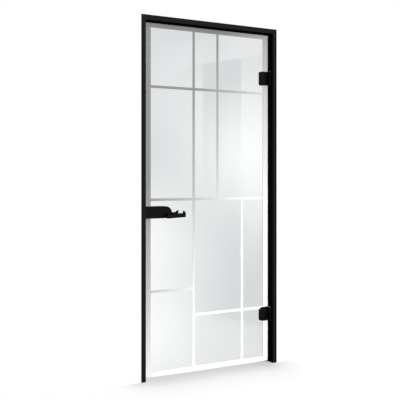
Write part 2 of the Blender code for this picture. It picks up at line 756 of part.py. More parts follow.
def axis_empty(name, location):
    made = bpy.data.objects.new(name, None)
    made.location = location
    PARTS.objects.link(made)
    return made


def carry(axis, pieces):
    """Parent the pieces, with their cutters, to the empty on their joint's axis."""
    bpy.context.view_layer.update()
    for piece in pieces:
        tools = [change.object for change in piece.modifiers if change.type == "BOOLEAN"]
        for item in [piece, *tools]:
            item.parent = axis
            item.matrix_parent_inverse = axis.matrix_world.inverted()


def shade(parts):
    for item in parts.objects:
        if item.type == "MESH":
            item.data.shade_smooth()
            item.data.set_sharp_from_angle(angle=math.radians(40))


clear_scene()
PARTS = collection("framed_glass_door")
CUTTERS = collection("framed_glass_door_cutters")

BLACK_FRAME = material("black_frame", (0.014, 0.014, 0.015), 0.45, 0.2)
BLACK_FITTING = material("black_fitting", (0.010, 0.010, 0.011), 0.40, 0.3)
STEEL = material("steel", (0.55, 0.55, 0.56), 0.35, 1.0)
SEAL_RUBBER = material("seal_rubber", (0.02, 0.02, 0.02), 0.8)
GREY_PLASTIC = material("grey_plastic", (0.06, 0.06, 0.06), 0.6)
CLEAR_GLASS = material("clear_glass", (0.93, 0.96, 0.95), 0.02, 0.0, 1.0)

hinge_jamb, strike_jamb = build_frame()
build_strike(strike_jamb)
glass_leaf = build_glass()
leaf_pieces = [glass_leaf]
for hinge_name, hinge_z in (("lower", LOWER_HINGE_Z), ("upper", UPPER_HINGE_Z)):
    leaf_pieces += build_hinge(hinge_name, hinge_z, glass_leaf, hinge_jamb)
leaf_pieces += build_lock(glass_leaf)
lever_pieces = [
    build_lever(FRONT_SIDE, "front"), build_lever(BACK_SIDE, "back"), build_spindle()]

leaf_axis = axis_empty("leaf_axis", (AXIS_X, AXIS_Y, 0))
lever_axis = axis_empty("lever_axis", (SPINDLE_X, GLASS_FRONT, SPINDLE_Z))
carry(leaf_axis, leaf_pieces + [lever_axis])
carry(lever_axis, lever_pieces)
shade(PARTS)
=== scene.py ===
# %% [markdown]
# # A framed glass door
#
# This lesson dresses a door whose construction is already done: a hollow aluminium frame, a sheet
# of toughened glass, two hinges, a lock and a pair of levers. The solids come in as they are, and
# everything here is about how they look: the finish of each surface, the matt pattern on the
# glass, the screws, and the studio that they stand in.
#
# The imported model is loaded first, because every later size and place is read from it. Blender's
# units are metres, and the leaf's front looks along -Y.

# %% Load the solids
import json
import math

import bmesh
import bpy
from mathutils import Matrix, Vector

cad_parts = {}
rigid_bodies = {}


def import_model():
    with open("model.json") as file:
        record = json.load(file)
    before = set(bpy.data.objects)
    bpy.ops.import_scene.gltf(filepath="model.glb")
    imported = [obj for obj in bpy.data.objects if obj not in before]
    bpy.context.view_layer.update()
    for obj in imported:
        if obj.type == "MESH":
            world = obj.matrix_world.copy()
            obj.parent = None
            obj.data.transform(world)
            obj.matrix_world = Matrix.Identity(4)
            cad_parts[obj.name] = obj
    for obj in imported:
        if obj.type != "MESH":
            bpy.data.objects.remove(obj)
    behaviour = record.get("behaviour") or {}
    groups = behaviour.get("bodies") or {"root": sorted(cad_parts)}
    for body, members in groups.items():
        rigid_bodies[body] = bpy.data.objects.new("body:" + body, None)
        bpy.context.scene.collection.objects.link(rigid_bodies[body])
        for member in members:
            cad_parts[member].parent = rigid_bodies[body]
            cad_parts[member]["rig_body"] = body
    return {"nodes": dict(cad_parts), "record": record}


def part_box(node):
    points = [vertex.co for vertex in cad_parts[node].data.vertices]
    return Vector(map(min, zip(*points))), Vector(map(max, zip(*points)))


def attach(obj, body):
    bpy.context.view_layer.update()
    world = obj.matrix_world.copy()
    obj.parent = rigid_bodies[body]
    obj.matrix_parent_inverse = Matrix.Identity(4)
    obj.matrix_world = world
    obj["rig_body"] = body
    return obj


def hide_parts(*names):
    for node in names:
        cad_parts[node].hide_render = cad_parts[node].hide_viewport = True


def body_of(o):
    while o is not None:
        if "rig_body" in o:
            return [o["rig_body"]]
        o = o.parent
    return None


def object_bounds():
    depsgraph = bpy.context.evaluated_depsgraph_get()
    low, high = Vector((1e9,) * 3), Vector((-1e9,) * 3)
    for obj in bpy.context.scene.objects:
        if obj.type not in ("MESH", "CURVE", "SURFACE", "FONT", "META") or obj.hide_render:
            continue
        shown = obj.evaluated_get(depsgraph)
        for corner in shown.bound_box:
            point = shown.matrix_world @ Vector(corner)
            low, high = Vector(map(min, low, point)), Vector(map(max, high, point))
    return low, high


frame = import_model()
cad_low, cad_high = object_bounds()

print("solids:", len(frame["nodes"]), "size:", [round(v, 3) for v in cad_high - cad_low])

# %% [markdown]
# ## The camera
#
# A product picture of a door is usually taken from eye height, a few metres away and a little to
# one side, with a longish lens. The camera here stands level, so that the door's uprights stay
# upright in the picture. A level camera puts the horizon in the middle of the image, and a small
# downward shift of the lens brings the floor into view without tilting the camera.

# %% Place the camera
EYE = (-2.645, -3.742, 1.130)
YAW = math.radians(-29.73)
SENSOR_WIDTH = 36
FOCAL_LENGTH = 67.31
LENS_SHIFT = -0.0612


def in_scene(name, data):
    """A new object made of the data, linked to the scene."""
    made = bpy.data.objects.new(name, data)
    bpy.context.scene.collection.objects.link(made)
    return made


camera_data = bpy.data.cameras.new("camera")
camera_data.sensor_width = SENSOR_WIDTH
camera_data.lens = FOCAL_LENGTH
camera_data.shift_y = LENS_SHIFT
camera = in_scene("camera", camera_data)
camera.location = EYE
camera.rotation_euler = (math.radians(90), 0, YAW)
bpy.context.scene.camera = camera
bpy.context.scene.view_settings.view_transform = "Standard"
print("camera", [round(v, 2) for v in camera.location], "lens", camera_data.lens)

# %% [markdown]
# ## Small helpers for node trees
#
# Materials, lights and modelling trees are all built from nodes, and short helpers keep that
# readable. An input is either joined to an output or set to a plain value, whichever is given.
# Everything else builds on that: one helper adds a node with its named inputs, one adds a Math
# node, one splits a vector into its axes, and two start a material and a node group.

# %% Node helpers
def feed(tree, socket, value):
    """Join an input to an output, or set it where the value is a plain one."""
    if isinstance(value, bpy.types.NodeSocket):
        tree.links.new(value, socket)
    else:
        socket.default_value = value


def set_inputs(tree, node, **inputs):
    """Feed a node's inputs by name, with an underscore for each space."""
    for name, value in inputs.items():
        feed(tree, node.inputs[name.replace("_", " ")], value)


def add_node(tree, kind, settings=None, **inputs):
    """Add a node, change its own settings, then feed its inputs."""
    made = tree.nodes.new(kind)
    for name, value in (settings or {}).items():
        setattr(made, name, value)
    set_inputs(tree, made, **inputs)
    return made


def sums(tree, operation, *values, clamp=False):
    """The result of one Math node; a clamped one stays between 0 and 1."""
    node = add_node(tree, "ShaderNodeMath", {"operation": operation, "use_clamp": clamp})
    for socket, value in zip(node.inputs, values):
        feed(tree, socket, value)
    return node.outputs[0]


def axes(tree, vector):
    """The X, Y and Z of a vector, by name."""
    return add_node(tree, "ShaderNodeSeparateXYZ", Vector=vector).outputs


def start_material(name):
    """A material, its tree and the Principled shader in it."""
    material = bpy.data.materials.new(name)
    material.use_nodes = True
    return material, material.node_tree, material.node_tree.nodes["Principled BSDF"]


def start_group(name, kind, inputs, outputs):
    """A node group with its named sockets; inputs and outputs are (name, socket type, value)."""
    group = bpy.data.node_groups.new(name, kind)
    for direction, sockets in (("INPUT", inputs), ("OUTPUT", outputs)):
        for socket_name, socket_type, value in sockets:
            socket = group.interface.new_socket(
                name=socket_name, in_out=direction, socket_type=socket_type)
            if value is not None:
                socket.default_value = value
    return group, group.nodes.new("NodeGroupInput"), group.nodes.new("NodeGroupOutput")


print("helpers ready")

# %% [markdown]
# ## The studio: a white room without a room
#
# The door stands in plain white. Lighting the background until it is white would also wash out
# the black metal, so the white is painted for the eye alone: where a ray comes from the camera, a
# mirror or clear glass, the world answers with pure white. Every other ray meets a dimmer sky,
# which is what actually lights the object, and so does a ray that a matt surface has scattered
# before it passed the glass. That sky is nearly dark on the left, so the sides of the black frame
# that look that way stay black, while the front keeps a soft grey sheen.
#
# The floor keeps part of its shading, so that the door still has a soft shadow and a faint mirror
# image at its foot. Under a door the light is also held back by the wall around it, which isn't
# here, so that narrow band of shade is painted on the floor: deepest under the leaf, gone within
# about half a metre, and fading out past both jambs.
#
# Suns add direction. A sun is chosen because its light is equal everywhere, and the floor then
# stays evenly white to the horizon. The ones straight from the front and from the back cast no
# shadow: they stand for the light that a matt print on glass gathers from both sides, and keep the
# border even right up to the frame.
#
# A door stands in a wall, and its front is level with the wall's surface. A white card with an
# opening of the frame's size stands for that surface. Only the camera sees it, and only from the
# front: from behind it is clear, so the back and the sides of the frame stay in view there.

# %% Rays and shaders
def rays(tree, *kinds):
    """1 for rays of any of the kinds that Light Path names, such as Is Camera Ray."""
    path = add_node(tree, "ShaderNodeLightPath")
    found = path.outputs[kinds[0]]
    for kind in kinds[1:]:
        found = sums(tree, "MAXIMUM", found, path.outputs[kind])
    return found


def mixed(tree, factor, otherwise, chosen):
    """Show the chosen shader where factor is 1, and the other one elsewhere."""
    mix = add_node(tree, "ShaderNodeMixShader", Fac=factor)
    feed(tree, mix.inputs[1], otherwise)
    feed(tree, mix.inputs[2], chosen)
    return mix.outputs[0]


def added(tree, first, second):
    """Show two shaders on top of each other."""
    both = add_node(tree, "ShaderNodeAddShader")
    feed(tree, both.inputs[0], first)
    feed(tree, both.inputs[1], second)
    return both.outputs[0]


def soft_step(tree, value, start, end, low=0.0, high=1.0):
    """From low where value is start to high where it is end, in a smooth curve."""
    return add_node(tree, "ShaderNodeMapRange", {"interpolation_type": "SMOOTHSTEP"}, Value=value,
                    From_Min=start, From_Max=end, To_Min=low, To_Max=high).outputs["Result"]


def grey(level):
    return level, level, level, 1


print("ray and shader helpers ready")

# %% A world for the eye and one for the light
SKY_LEFT = 0.05
SKY_RIGHT = 0.80
SKY_TURN = 0.3  # how far to each side of straight ahead the sky changes

world = bpy.data.worlds.new("studio")
bpy.context.scene.world = world
world.use_nodes = True
sky = world.node_tree
sky.nodes.clear()
sideways = axes(sky, add_node(sky, "ShaderNodeTexCoord").outputs["Generated"])["X"]
dim_sky = add_node(
    sky, "ShaderNodeBackground", Color=grey(1),
    Strength=soft_step(sky, sideways, -SKY_TURN, SKY_TURN, SKY_LEFT, SKY_RIGHT))
white_sky = add_node(sky, "ShaderNodeBackground", Color=grey(1), Strength=1.0)
not_scattered = sums(sky, "LESS_THAN", rays(sky, "Diffuse Depth"), 0.5)
for_the_eye = sums(sky, "MULTIPLY", not_scattered,
                   rays(sky, "Is Camera Ray", "Is Singular Ray", "Is Transmission Ray"))
sky_seen = mixed(sky, for_the_eye, dim_sky.outputs[0], white_sky.outputs[0])
add_node(sky, "ShaderNodeOutputWorld", Surface=sky_seen)
print("world: white for the eye, and from", SKY_LEFT, "to", SKY_RIGHT, "for the light")

# %% Pieces of the studio
RAY_KINDS = ("camera", "diffuse", "glossy", "transmission", "shadow", "volume_scatter")


def start_stage_material(name):
    """A material and its tree, without the Principled shader."""
    material, tree, shader = start_material(name)
    tree.nodes.remove(shader)
    return material, tree


def show(tree, looks):
    """Give a shader to the material's surface."""
    feed(tree, tree.nodes["Material Output"].inputs["Surface"], looks)


def on_object(tree):
    """Where a point lies in the object's own coordinates."""
    return add_node(tree, "ShaderNodeTexCoord").outputs["Object"]


def stage_piece(name, material, seen_by, corners, faces=()):
    """A flat studio piece, not part of the door, that only the rays in seen_by meet."""
    mesh = bpy.data.meshes.new(name)
    mesh.from_pydata(corners, [], faces or [tuple(range(len(corners)))])
    mesh.materials.append(material)
    made = in_scene(name, mesh)
    for kind in RAY_KINDS:
        setattr(made, "visible_" + kind, kind in seen_by)


print("kinds of ray:", len(RAY_KINDS))

# %% The floor
FLOOR_DROP = 0.0003
FLOOR_HALF = 40.0
FLOOR_SHADE = 0.50
FLOOR_GLOW = 0.66
FLOOR_MIRROR = 0.02
FLOOR_MIRROR_ROUGHNESS = 0.18
FLOOR_BOUNCE = 0.20
FOOT_SHADE = [(0.24, 0.21), (0.52, 0.12)]  # how far it reaches, how much it takes away
FOOT_OUTSIDE = 0.17
FOOT_INSIDE = 0.10

floor_material, floor_tree = start_stage_material("studio_floor")
floor_axes = axes(floor_tree, on_object(floor_tree))
from_leaf = sums(floor_tree, "ABSOLUTE", floor_axes["Y"])
under_leaf = sums(floor_tree, "ADD", *[
    soft_step(floor_tree, from_leaf, reach, 0.0, 0.0, depth) for reach, depth in FOOT_SHADE])
past_left = soft_step(
    floor_tree, floor_axes["X"], cad_low.x - FOOT_OUTSIDE, cad_low.x + FOOT_INSIDE)
past_right = soft_step(
    floor_tree, floor_axes["X"], cad_high.x + FOOT_OUTSIDE, cad_high.x - FOOT_INSIDE)
at_foot = sums(floor_tree, "MULTIPLY", under_leaf,
               sums(floor_tree, "MULTIPLY", past_left, past_right))
bounce = add_node(floor_tree, "ShaderNodeBsdfDiffuse", Color=grey(FLOOR_BOUNCE))
shade = add_node(floor_tree, "ShaderNodeBsdfDiffuse", Color=grey(FLOOR_SHADE))
glow = add_node(floor_tree, "ShaderNodeEmission",
                Strength=sums(floor_tree, "SUBTRACT", FLOOR_GLOW, at_foot))
mirror = add_node(floor_tree, "ShaderNodeBsdfGlossy", Color=grey(FLOOR_MIRROR),
                  Roughness=FLOOR_MIRROR_ROUGHNESS)
lit = added(floor_tree, shade.outputs[0], glow.outputs[0])
seen = added(floor_tree, lit, mirror.outputs[0])
show(floor_tree, mixed(floor_tree, rays(floor_tree, "Is Camera Ray"), bounce.outputs[0], seen))

stage_piece("floor", floor_material, ("camera", "diffuse", "shadow"), [
    (x * FLOOR_HALF, y * FLOOR_HALF, -FLOOR_DROP)
    for x, y in ((-1, -1), (1, -1), (1, 1), (-1, 1))])
print("floor", FLOOR_HALF * 2, "m wide")

# %% The card in the wall's plane
CARD_BEHIND_FRONT = 0.001
CARD_HALF = 12.0

card_material, card_tree = start_stage_material("studio_card")
card_white = add_node(card_tree, "ShaderNodeEmission", Strength=1.0)
card_clear = add_node(card_tree, "ShaderNodeBsdfTransparent")
from_behind = add_node(card_tree, "ShaderNodeNewGeometry").outputs["Backfacing"]
show(card_tree, mixed(card_tree, from_behind, card_white.outputs[0], card_clear.outputs[0]))

card_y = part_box("head_rail")[0].y + CARD_BEHIND_FRONT
card_x = (-CARD_HALF, cad_low.x, cad_high.x, CARD_HALF)
card_z = (-FLOOR_DROP, cad_high.z, CARD_HALF)
card_points = [(x, card_y, z) for z in card_z for x in card_x]
card_faces = [(0, 1, 5, 4), (2, 3, 7, 6), (4, 5, 9, 8), (5, 6, 10, 9), (6, 7, 11, 10)]
stage_piece("wall_card", card_material, ("camera",), card_points, card_faces)
print("card opening", [round(v, 3) for v in card_x[1:3]], "up to", round(card_z[1], 3))

# %% Four suns
SUNS = [
    # name, where it stands, strength, spread in degrees, plain: no shadow and in no mirror
    ("front_sun", (0.14, -1.00, 0.10), 2.45, 20, True),
    ("back_sun", (-0.10, 1.00, 0.00), 1.60, 20, True),
    ("key_sun", (0.25, -0.75, 0.42), 0.55, 36, False),
    ("fill_sun", (0.65, -0.45, 0.60), 0.45, 60, False),
]

for name, place, strength, spread, plain in SUNS:
    light = bpy.data.lights.new(name, "SUN")
    light.energy = strength
    light.angle = math.radians(spread)
    light.use_shadow = not plain
    shining = in_scene(name, light)
    shining.rotation_euler = Vector(place).to_track_quat("Z", "Y").to_euler()
    shining.visible_transmission = False
    shining.visible_glossy = not plain
print("suns:", [row[0] for row in SUNS])

# %% [markdown]
# ## What the glass mirrors
#
# Clear glass is seen mostly by what it mirrors. In a plain white room that is nothing at all, and
# the panes would look like flat grey paper. A photographer hangs large soft panels behind the
# camera, and their pale and dim patches on the glass are what makes it read as glass.
#
# One sheet stands for all of them. It hangs in the camera's plane, where the mirror rule is
# simple: the eye sees at a point of the glass what lies twice as far from the eye, so a panel is
# planned where it should show on the glass and then doubled away from the eye. Each panel is a
# soft-edged ellipse or box, and all of them are one node group with other values. A panel can
# also change towards its bottom, as a window's reflection does: a fade of 1 takes all of it away
# there, and one below 0 adds that many times its strength.
#
# Only a ray that a mirror-like surface has turned back sees the sheet. It adds no light to the
# door and no patch to the matt black, and whoever looks through the door from behind doesn't see
# it either.

# %% A soft-edged panel of light
spot_group, spot_in, spot_out = start_group(
    "soft_panel", "ShaderNodeTree",
    [("Vector", "NodeSocketVector", None),
     ("Centre", "NodeSocketVector", (0, 0, 0)),
     ("Half Size", "NodeSocketVector", (1, 1, 1)),
     ("Slant", "NodeSocketFloat", 0.0),
     ("Feather", "NodeSocketFloat", 0.5),
     ("Power", "NodeSocketFloat", 2.0),
     ("Fade", "NodeSocketFloat", 0.0),
     ("Strength", "NodeSocketFloat", 1.0)],
    [("Value", "NodeSocketFloat", None)])
spot = spot_in.outputs


def out_by(share):
    """How far out a point is, as a power of its share of the half size."""
    return sums(spot_group, "POWER", sums(spot_group, "ABSOLUTE", share), spot["Power"])


from_centre = add_node(spot_group, "ShaderNodeVectorMath", {"operation": "SUBTRACT"})
feed(spot_group, from_centre.inputs[0], spot["Vector"])
feed(spot_group, from_centre.inputs[1], spot["Centre"])
offsets = axes(spot_group, from_centre.outputs[0])
halves = axes(spot_group, spot["Half Size"])
slid = sums(spot_group, "MULTIPLY", offsets["X"], spot["Slant"])
risen = sums(spot_group, "SUBTRACT", offsets["Z"], slid)
across = sums(spot_group, "DIVIDE", offsets["X"], halves["X"])
upward = sums(spot_group, "DIVIDE", risen, halves["Z"])
outness = sums(spot_group, "POWER",
               sums(spot_group, "ADD", out_by(across), out_by(upward)),
               sums(spot_group, "DIVIDE", 1.0, spot["Power"]))
inside = soft_step(spot_group, outness, sums(spot_group, "ADD", 1.0, spot["Feather"]),
                   sums(spot_group, "SUBTRACT", 1.0, spot["Feather"]))
# From the top to the bottom of a panel, upward goes from 1 to -1, so half the fade counts.
faded = sums(spot_group, "MULTIPLY_ADD", sums(spot_group, "SUBTRACT", upward, 1.0),
             sums(spot_group, "MULTIPLY", spot["Fade"], 0.5), 1.0)
strength_here = sums(spot_group, "MULTIPLY", spot["Strength"],
                     sums(spot_group, "MAXIMUM", faded, 0.0))
set_inputs(spot_group, spot_out, Value=sums(spot_group, "MULTIPLY", inside, strength_here))
print("group", spot_group.name, "with", len(spot_group.nodes), "nodes")

# %% Hang the panels
MIRROR_SHARE = 0.075  # how much of what lies in front of it the glass gives back
PANEL_COLOUR = (1.0, 0.955, 0.95, 1)
SHEET_LEFT, SHEET_RIGHT = -2.6, 5.6
SHEET_BOTTOM, SHEET_TOP = -2.7, 4.2
ELLIPSE, BOX, SQUARE_BOX = 2, 8, 60
PANELS = [
    # centre x, z on the glass, half width and height, slant, feather, fade, power, how much it adds
    (-0.029, 1.189, 0.785, 0.376, -0.38, 0.76, 0, ELLIPSE, 0.200),
    (-0.724, 1.320, 0.257, 0.228, -0.04, 0.90, 0, ELLIPSE, -0.126),
    (-0.355, 1.373, 0.131, 0.425, 0.20, 0.03, 1, SQUARE_BOX, -0.135),
    (-0.264, 1.600, 0.390, 0.218, 0.20, 0.03, 1, BOX, -0.017),
    (-1.036, 0.490, 0.941, 0.449, -0.05, 0.58, 0, ELLIPSE, 0.261),
    (-0.218, 0.554, 0.500, 0.458, -0.18, 0.80, 0, ELLIPSE, -0.258),
    (-0.144, 0.752, 0.069, 0.221, -0.66, 0.75, 0, BOX, 0.072),
    (-0.262, 0.392, 0.288, 0.120, -0.27, 0.04, -9, SQUARE_BOX, -0.0045),
    (0.043, 0.112, 0.410, 0.119, -0.13, 0.54, 0, BOX, 0.085),
    (0.005, 1.951, 0.697, 0.077, 0.21, 0.18, 0, BOX, 0.031),
    (-0.659, 1.086, 0.903, 0.406, -0.22, 0.41, 0, ELLIPSE, 0.068),
    (-0.728, 1.751, 0.399, 0.554, 0.00, 0.30, 0, BOX, -0.061),
]


def behind_the_eye(x, z):
    """Where the sheet must show something for the eye to see it mirrored at x, z of the glass."""
    return 2 * x - EYE[0], 0, 2 * z - EYE[2]


sheet_material, sheet_tree = start_stage_material("studio_panels")
on_sheet = on_object(sheet_tree)
brightness_here = 1.0
for x, z, half_width, half_height, slant, feather, fade, power, adds in PANELS:
    panel = add_node(
        sheet_tree, "ShaderNodeGroup", {"node_tree": spot_group}, Vector=on_sheet,
        Centre=behind_the_eye(x, z), Half_Size=(2 * half_width, 1, 2 * half_height), Slant=slant,
        Feather=feather, Fade=fade, Power=power, Strength=adds / MIRROR_SHARE)
    brightness_here = sums(sheet_tree, "ADD", brightness_here, panel.outputs["Value"])
panels_glow = add_node(sheet_tree, "ShaderNodeEmission", Color=PANEL_COLOUR,
                       Strength=sums(sheet_tree, "MAXIMUM", brightness_here, 0.0))
panels_clear = add_node(sheet_tree, "ShaderNodeBsdfTransparent")
mirrored = sums(sheet_tree, "MULTIPLY", rays(sheet_tree, "Is Singular Ray"),
                sums(sheet_tree, "GREATER_THAN", rays(sheet_tree, "Glossy Depth"), 0.5))
show(sheet_tree, mixed(sheet_tree, mirrored, panels_clear.outputs[0], panels_glow.outputs[0]))

stage_piece("panel_sheet", sheet_material, ("glossy", "transmission"), [
    (x, EYE[1], z) for x, z in ((SHEET_LEFT, SHEET_BOTTOM), (SHEET_RIGHT, SHEET_BOTTOM),
                                (SHEET_RIGHT, SHEET_TOP), (SHEET_LEFT, SHEET_TOP))])
print("panels:", len(PANELS))

# %% [markdown]
# ## Grain that several finishes share
#
# Powder coat, moulded plastic and rubber all have a fine, even grain that breaks up the highlight,
# and only its size and depth differ. It is made once, as a node group: two layers of noise, one
# fine for the grain and one broad for the slow drift that every sprayed coat has. The group puts
# out a colour, a roughness and a height, and each material feeds it its own values.
#
# Brushed metal is another case. Its marks are long in one direction, so the noise is stretched by
# scaling the coordinates unequally before they reach it.

# %% A grain for coats, plastic and rubber
DRIFT_SCALE = 9.0
GRAIN_DETAIL, DRIFT_DETAIL, BRUSH_DETAIL = 2.0, 3.0, 4.0
NOISE_MIDDLE = 0.5


def noise(tree, vector, scale, detail):
    return add_node(
        tree, "ShaderNodeTexNoise", Vector=vector, Scale=scale, Detail=detail).outputs[0]


grain_group, grain_in, grain_out = start_group(
    "sprayed_grain", "ShaderNodeTree",
    [("Vector", "NodeSocketVector", None),
     ("Colour", "NodeSocketColor", (0.5, 0.5, 0.5, 1)),
     ("Grain Size", "NodeSocketFloat", 0.0006),
     ("Colour Drift", "NodeSocketFloat", 0.1),
     ("Roughness", "NodeSocketFloat", 0.5),
     ("Roughness Drift", "NodeSocketFloat", 0.08)],
    [("Colour", "NodeSocketColor", None),
     ("Roughness", "NodeSocketFloat", None),
     ("Height", "NodeSocketFloat", None)])
grain = grain_in.outputs

fine = noise(grain_group, grain["Vector"], sums(grain_group, "DIVIDE", 1.0, grain["Grain Size"]),
             GRAIN_DETAIL)
broad = noise(grain_group, grain["Vector"], DRIFT_SCALE, DRIFT_DETAIL)
drift = sums(grain_group, "SUBTRACT", broad, NOISE_MIDDLE)
tinted = add_node(
    grain_group, "ShaderNodeVectorMath", {"operation": "SCALE"},
    Scale=sums(grain_group, "MULTIPLY_ADD", drift, grain["Colour Drift"], 1.0))
feed(grain_group, tinted.inputs[0], grain["Colour"])
rougher = sums(grain_group, "MULTIPLY_ADD", drift, grain["Roughness Drift"], grain["Roughness"],
               clamp=True)
set_inputs(grain_group, grain_out, Colour=tinted.outputs[0], Roughness=rougher, Height=fine)
print("group", grain_group.name, "with", len(grain_group.nodes), "nodes")

# %% A brushed grain for bare steel
brushed_group, brushed_in, brushed_out = start_group(
    "brushed_grain", "ShaderNodeTree",
    [("Vector", "NodeSocketVector", None),
     ("Stretch", "NodeSocketVector", (1.0, 1.0, 1.0)),
     ("Roughness", "NodeSocketFloat", 0.3),
     ("Roughness Drift", "NodeSocketFloat", 0.2)],
    [("Roughness", "NodeSocketFloat", None),
     ("Height", "NodeSocketFloat", None)])
brushed = brushed_in.outputs

stretched = add_node(brushed_group, "ShaderNodeVectorMath", {"operation": "MULTIPLY"})
feed(brushed_group, stretched.inputs[0], brushed["Vector"])
feed(brushed_group, stretched.inputs[1], brushed["Stretch"])
marks = noise(brushed_group, stretched.outputs[0], 1.0, BRUSH_DETAIL)
streaks = sums(brushed_group, "MULTIPLY_ADD", sums(brushed_group, "SUBTRACT", marks, NOISE_MIDDLE),
               brushed["Roughness Drift"], brushed["Roughness"], clamp=True)
set_inputs(brushed_group, brushed_out, Roughness=streaks, Height=marks)
print("group", brushed_group.name, "with", len(brushed_group.nodes), "nodes")

# %% [markdown]
# ## Black coats, rubber and plastic
#
# The frame is powder coated aluminium and the fittings are anodised or sprayed to match: a deep
# black that shows little more than a soft sheen on the faces that look at the viewer, and almost
# nothing at a slant. A plain plastic black would turn grey at a slant, because every varnish
# mirrors more there. Mixing some metal into the shader, with a black tint for its slanted
# reflection, keeps the returns of the frame as dark as the real ones.

# %% Coated finishes
COAT_DIMPLE_DEPTH = 0.0002
COAT_DRIFT = 0.15
COATS = {
    # slot: name, colour, roughness, metallic, specular, grain size in metres, how deep it looks
    "black_frame": ("satin_frame_coat", (0.0145, 0.0145, 0.0147), 0.48, 0.7, 0.0, 0.0009, 0.25),
    "black_fitting": ("satin_fitting_coat", (0.01, 0.01, 0.0102), 0.42, 0.7, 0.05, 0.0006, 0.15),
    "seal_rubber": ("dull_rubber", (0.016, 0.016, 0.016), 0.80, 0.0, 0.2, 0.0004, 0.3),
    "grey_plastic": ("moulded_plastic", (0.045, 0.046, 0.048), 0.60, 0.0, 0.4, 0.0005, 0.2),
}


def use_grain(tree, shader, surface, strength, depth):
    """Let a grain's roughness and height shape what a shader shows."""
    relief = add_node(tree, "ShaderNodeBump", Strength=strength, Distance=depth,
                      Height=surface.outputs["Height"])
    set_inputs(tree, shader, Roughness=surface.outputs["Roughness"],
               Normal=relief.outputs["Normal"])


def coated(name, colour, roughness, metallic, specular, grain_size, bump):
    """A coat, plastic or rubber that shares the sprayed grain."""
    material, tree, shader = start_material(name)
    coat = add_node(
        tree, "ShaderNodeGroup", {"node_tree": grain_group}, Vector=on_object(tree),
        Colour=(*colour, 1), Grain_Size=grain_size, Colour_Drift=COAT_DRIFT, Roughness=roughness)
    set_inputs(tree, shader, Base_Color=coat.outputs["Colour"], Metallic=metallic,
               Specular_IOR_Level=specular, Specular_Tint=grey(0))
    use_grain(tree, shader, coat, strength=bump, depth=COAT_DIMPLE_DEPTH)
    return material


FINISHES = {slot: coated(*looks) for slot, looks in COATS.items()}
print("coats:", [coat.name for coat in FINISHES.values()])

# %% Brushed steel for the strike, the forend, the bolt and the pins
STEEL_COLOUR = (0.55, 0.55, 0.56, 1)
BRUSH_STRETCH = (1800.0, 1800.0, 60.0)  # marks are long where this is small
BRUSH_DEPTH = 0.0001

steel, steel_tree, steel_shader = start_material("brushed_bare_steel")
steel_marks = add_node(
    steel_tree, "ShaderNodeGroup", {"node_tree": brushed_group}, Vector=on_object(steel_tree),
    Stretch=BRUSH_STRETCH, Roughness=0.30, Roughness_Drift=0.25)
set_inputs(steel_tree, steel_shader, Base_Color=STEEL_COLOUR, Metallic=1.0)
use_grain(steel_tree, steel_shader, steel_marks, strength=0.12, depth=BRUSH_DEPTH)
print("steel:", steel.name)

# %% [markdown]
# ## The glass
#
# Toughened float glass, 8 mm thick. Seen square on it is nearly colourless, and at its cut edges,
# where the eye looks along the sheet, it is clearly green. The base colour therefore depends on
# which way a face looks in the glass's own coordinates: the two large faces take a faint neutral
# tint, and the edges the green.
#
# Clear glass would cast a hard, black shadow in a path tracer, since lamps can't be followed
# through a refracting sheet. The leaf is simply told to cast none. Light that a matt surface
# scatters passes it by as well, because the white that the glass shows to the eye would otherwise
# fall on the black returns around it.

# %% Clear glass with green edges
GLASS_TINT = (0.745, 0.768, 0.772, 1)
GLASS_EDGE = (0.22, 0.50, 0.40, 1)
GLASS_IOR = 1.50
LARGE_FACE = 0.95  # a face is one of the two large ones if its normal is this close to Y

clear_glass, glass_tree, glass_shader = start_material("toughened_glass")
normal_axes = axes(glass_tree, add_node(glass_tree, "ShaderNodeTexCoord").outputs["Normal"])
on_large_face = sums(
    glass_tree, "GREATER_THAN", sums(glass_tree, "ABSOLUTE", normal_axes["Y"]), LARGE_FACE)
glass_colour = add_node(glass_tree, "ShaderNodeMix", {"data_type": "RGBA"}, Factor=on_large_face,
                        A=GLASS_EDGE, B=GLASS_TINT)
set_inputs(glass_tree, glass_shader, Base_Color=glass_colour.outputs["Result"], Roughness=0.0,
           IOR=GLASS_IOR, Transmission_Weight=1.0)
print("glass tint", GLASS_TINT[:3])

# %% Give every solid its finish
FINISHES["steel"] = steel
FINISHES["clear_glass"] = clear_glass
finish_of = {row["node"]: row["material_slot"] for row in frame["record"]["subparts"]}
for name, solid in frame["nodes"].items():
    for slot in solid.material_slots:
        slot.material = FINISHES[finish_of[name]]
frame["nodes"]["glass_leaf"].visible_shadow = False
frame["nodes"]["glass_leaf"].visible_diffuse = False
print("finished", len(frame["nodes"]), "solids with", len(FINISHES), "materials")

# %% [markdown]
# ## The matt pattern
#
# The leaf has a matt border and a loose grid of matt lines, sandblasted or printed on its front.
# They could be painted in the glass's material with a mask, but then they would be clear glass
# with a rough patch, and would cast nothing and hide nothing. Here they are a skin of their own,
# a fraction of a millimetre thick, that lies on the glass like the real print.
#
# Each strip is one point with a size. A Geometry Nodes tree puts a cube on every point, scales it
# to the strip, and joins all of them with a Boolean union, so that crossings are clean and no
# face lies inside another.

# %% Where the matt strips lie
LINE = 0.015
PRINT_THICKNESS = 0.00016
PRINT_GAP = 0.00005
BORDER_LEFT_INNER = -0.823
BORDER_RIGHT_INNER = -0.0685
BORDER_TOP_INNER = 1.953
BORDER_BOTTOM_INNER = 0.0375
LEFT_UPRIGHT = -0.550
MIDDLE_UPRIGHT = -0.391
RIGHT_UPRIGHT = -0.2205
UPPER_BAR = 1.625
MIDDLE_BAR = 0.995
LOWER_LEFT_BAR = 0.483
LOWER_RIGHT_BAR = 0.3325
EDGE_MARGIN = 0.0012

